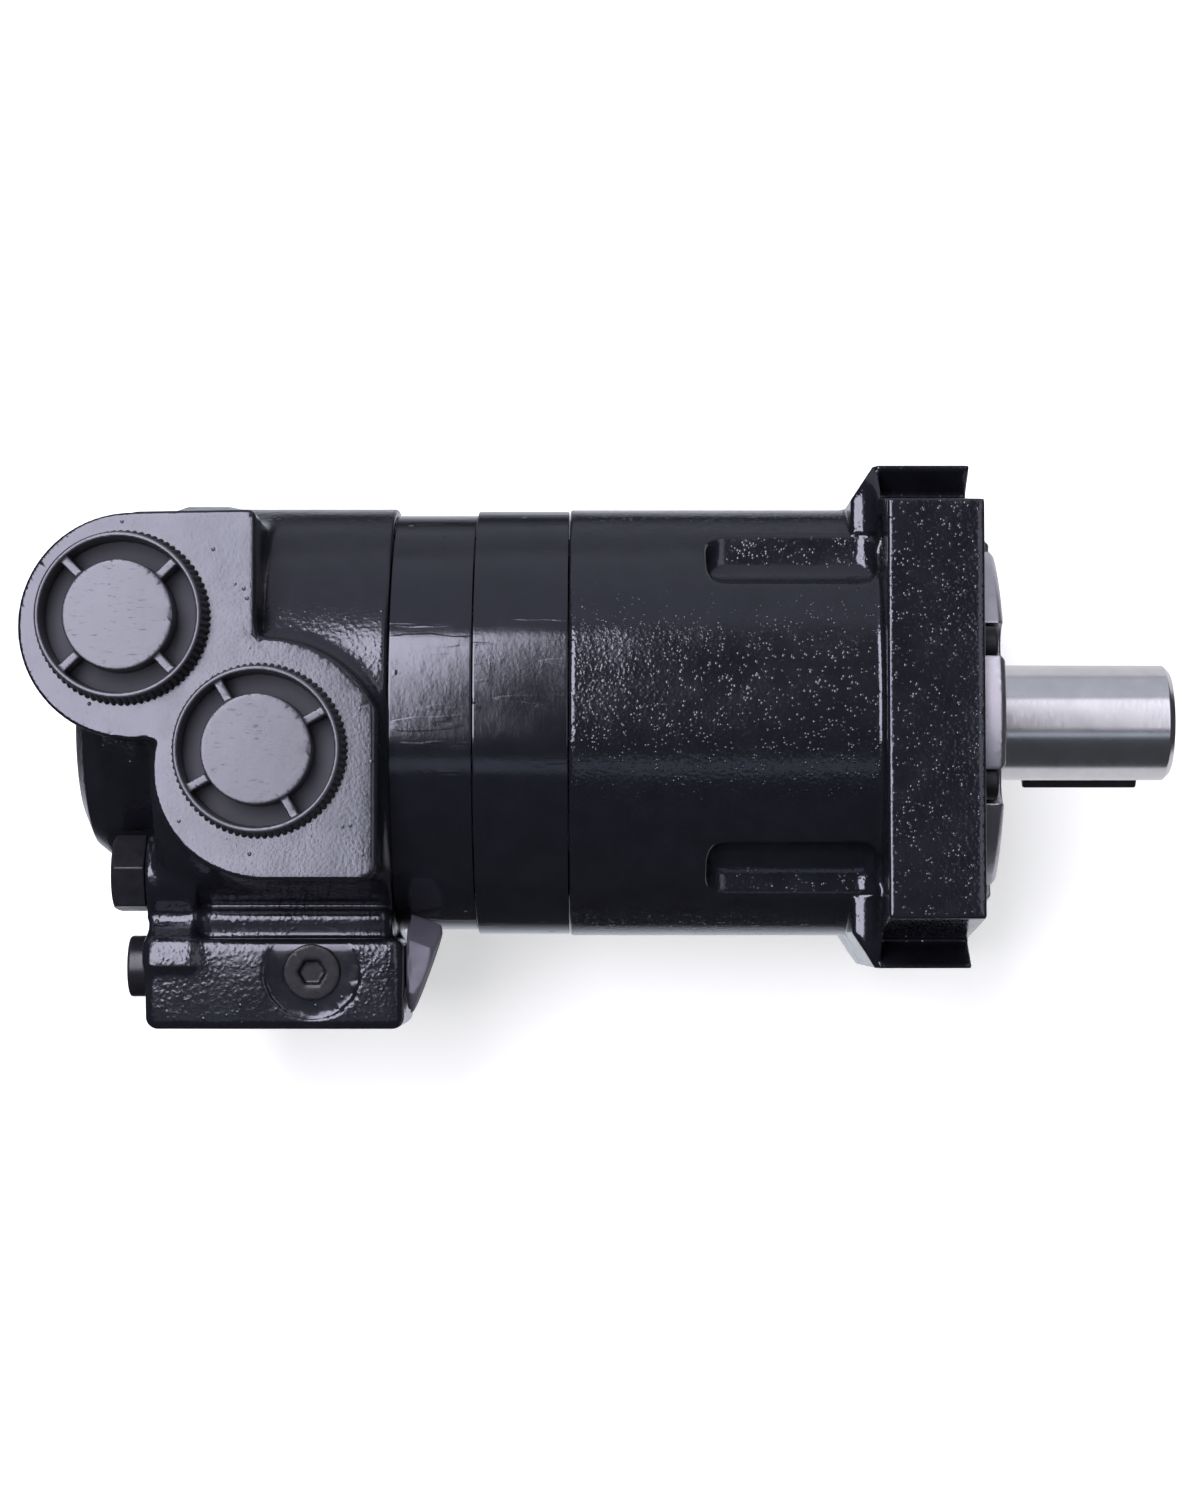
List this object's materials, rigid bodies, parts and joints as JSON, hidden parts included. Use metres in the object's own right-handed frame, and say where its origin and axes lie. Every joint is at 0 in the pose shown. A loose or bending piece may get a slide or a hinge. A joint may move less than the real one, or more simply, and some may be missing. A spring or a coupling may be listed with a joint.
{
  "type": "hydraulic motor",
  "caption": "Orbital hydraulic motor: bolt-on flange with pilot, keyed shaft, round stacked body, valve housing with capped ports and a shuttle block.",
  "frame": {"origin": "centre of the output shaft's end face", "axes": "+X out along the output shaft, +Z out of the two hose ports, +Y away from the shuttle block"},
  "size_m": [0.3055, 0.15, 0.143],
  "materials": {
    "black_paint": "semi-gloss black enamel over cast iron",
    "machined_steel": "turned and ground bare steel",
    "hard_steel": "ground hardened steel",
    "black_oxide": "black oxide, lightly oiled",
    "valve_bronze": "lapped bronze",
    "seal_rubber": "moulded nitrile rubber",
    "cap_plastic": "moulded black plastic, slightly glossy",
    "spring_steel": "oil-tempered wire"
  },
  "bodies": {
    "motor_body": {"bearing_housing": "black_paint", "geroler_ring": "black_paint", "valve_plate": "black_paint", "valve_housing": "black_paint", "seal_retainer": "machined_steel", "drain_plug": "machined_steel", "front_shuttle_plug": "black_oxide", "rear_shuttle_plug": "black_oxide", "relief_plug": "black_oxide", "dust_seal": "seal_rubber", "shaft_seal": "seal_rubber", "housing_o_ring": "seal_rubber", "ring_o_ring": "seal_rubber", "plate_o_ring": "seal_rubber", "balance_spring": "spring_steel", "front_shuttle_spring": "spring_steel", "rear_shuttle_spring": "spring_steel", "relief_spring": "spring_steel", "retainer_screw_1": "black_oxide", "retainer_screw_2": "black_oxide", "retainer_screw_3": "black_oxide", "retainer_screw_4": "black_oxide", "retainer_screw_5": "black_oxide", "retainer_screw_6": "black_oxide", "retainer_screw_7": "black_oxide", "retainer_screw_8": "black_oxide", "tie_bolt_1": "black_oxide", "tie_bolt_2": "black_oxide", "tie_bolt_3": "black_oxide", "tie_bolt_4": "black_oxide", "front_bearing_cup": "hard_steel", "rear_bearing_cup": "hard_steel", "wear_plate": "hard_steel"},
    "shaft": {"output_shaft": "machined_steel", "shaft_key": "black_oxide", "front_bearing_cone": "hard_steel", "rear_bearing_cone": "hard_steel"},
    "orbit": {"drive_spacer": "hard_steel"},
    "rotor": {"rotor": "hard_steel"},
    "drive_link": {"drive_link": "hard_steel"},
    "valve_link": {"valve_link": "hard_steel"},
    "disc_valve": {"disc_valve": "valve_bronze"},
    "balance_ring": {"balance_ring": "hard_steel"},
    "shuttle_spool": {"shuttle_spool": "hard_steel"},
    "relief_poppet": {"relief_poppet": "hard_steel"},
    "port_cap_a": {"port_cap_a": "cap_plastic"},
    "port_cap_b": {"port_cap_b": "cap_plastic"},
    "roller_1": {"roller_1": "hard_steel"},
    "roller_2": {"roller_2": "hard_steel"},
    "roller_3": {"roller_3": "hard_steel"},
    "roller_4": {"roller_4": "hard_steel"},
    "roller_5": {"roller_5": "hard_steel"},
    "roller_6": {"roller_6": "hard_steel"},
    "roller_7": {"roller_7": "hard_steel"}
  },
  "joints": [
    {"name": "shaft_spin", "type": "hinge", "parent": "motor_body", "child": "shaft", "pos_m": [-0.098, 0, 0], "axis": [1, 0, 0], "continuous": true},
    {"name": "rotor_orbit", "type": "hinge", "parent": "motor_body", "child": "orbit", "pos_m": [-0.177, 0, 0], "axis": [1, 0, 0], "continuous": true},
    {"name": "rotor_spin", "type": "hinge", "parent": "orbit", "child": "rotor", "pos_m": [-0.177, 0.0026, 0], "axis": [1, 0, 0], "continuous": true},
    {"name": "drive_link_spin", "type": "hinge", "parent": "orbit", "child": "drive_link", "pos_m": [-0.137, 0, 0], "axis": [0.9975, -0.0711, 0], "continuous": true},
    {"name": "valve_link_spin", "type": "hinge", "parent": "orbit", "child": "valve_link", "pos_m": [-0.219, 0, 0], "axis": [0.997, 0.0776, 0], "continuous": true},
    {"name": "disc_valve_spin", "type": "hinge", "parent": "motor_body", "child": "disc_valve", "pos_m": [-0.218, 0, 0], "axis": [1, 0, 0], "continuous": true},
    {"name": "roller_1_spin", "type": "hinge", "parent": "motor_body", "child": "roller_1", "pos_m": [-0.177, 0.0325, 0], "axis": [1, 0, 0], "continuous": true},
    {"name": "roller_2_spin", "type": "hinge", "parent": "motor_body", "child": "roller_2", "pos_m": [-0.177, 0.02026, 0.02541], "axis": [1, 0, 0], "continuous": true},
    {"name": "roller_3_spin", "type": "hinge", "parent": "motor_body", "child": "roller_3", "pos_m": [-0.177, -0.00723, 0.03169], "axis": [1, 0, 0], "continuous": true},
    {"name": "roller_4_spin", "type": "hinge", "parent": "motor_body", "child": "roller_4", "pos_m": [-0.177, -0.02928, 0.0141], "axis": [1, 0, 0], "continuous": true},
    {"name": "roller_5_spin", "type": "hinge", "parent": "motor_body", "child": "roller_5", "pos_m": [-0.177, -0.02928, -0.0141], "axis": [1, 0, 0], "continuous": true},
    {"name": "roller_6_spin", "type": "hinge", "parent": "motor_body", "child": "roller_6", "pos_m": [-0.177, -0.00723, -0.03169], "axis": [1, 0, 0], "continuous": true},
    {"name": "roller_7_spin", "type": "hinge", "parent": "motor_body", "child": "roller_7", "pos_m": [-0.177, 0.02026, -0.02541], "axis": [1, 0, 0], "continuous": true},
    {"name": "balance_ring_float", "type": "slide", "parent": "motor_body", "child": "balance_ring", "axis": [1, 0, 0], "range_m": [-0.0006, 0], "stiffness_N_per_m": 4000, "deforming": ["balance_spring"]},
    {"name": "shuttle_slide", "type": "slide", "parent": "motor_body", "child": "shuttle_spool", "axis": [1, 0, 0], "range_m": [-0.004, 0.004], "stiffness_N_per_m": 900, "deforming": ["front_shuttle_spring", "rear_shuttle_spring"]},
    {"name": "relief_lift", "type": "slide", "parent": "motor_body", "child": "relief_poppet", "axis": [0, 0, 1], "range_m": [0, 0.0008], "stiffness_N_per_m": 6000, "deforming": ["relief_spring"]},
    {"name": "port_cap_a_pull", "type": "slide", "parent": "motor_body", "child": "port_cap_a", "axis": [0, 0, 1], "range_m": [0, 0.03]},
    {"name": "port_cap_b_pull", "type": "slide", "parent": "motor_body", "child": "port_cap_b", "axis": [0, 0, 1], "range_m": [0, 0.03]}
  ],
  "couplings": [
    {"joint": "rotor_orbit", "follows": "shaft_spin", "ratio": -6},
    {"joint": "rotor_spin", "follows": "shaft_spin", "ratio": 7},
    {"joint": "drive_link_spin", "follows": "shaft_spin", "ratio": 7},
    {"joint": "valve_link_spin", "follows": "shaft_spin", "ratio": 7},
    {"joint": "disc_valve_spin", "follows": "shaft_spin", "ratio": 1},
    {"joint": "roller_1_spin", "follows": "shaft_spin", "ratio": -5.1},
    {"joint": "roller_2_spin", "follows": "shaft_spin", "ratio": -5.1},
    {"joint": "roller_3_spin", "follows": "shaft_spin", "ratio": -5.1},
    {"joint": "roller_4_spin", "follows": "shaft_spin", "ratio": -5.1},
    {"joint": "roller_5_spin", "follows": "shaft_spin", "ratio": -5.1},
    {"joint": "roller_6_spin", "follows": "shaft_spin", "ratio": -5.1},
    {"joint": "roller_7_spin", "follows": "shaft_spin", "ratio": -5.1}
  ]
}
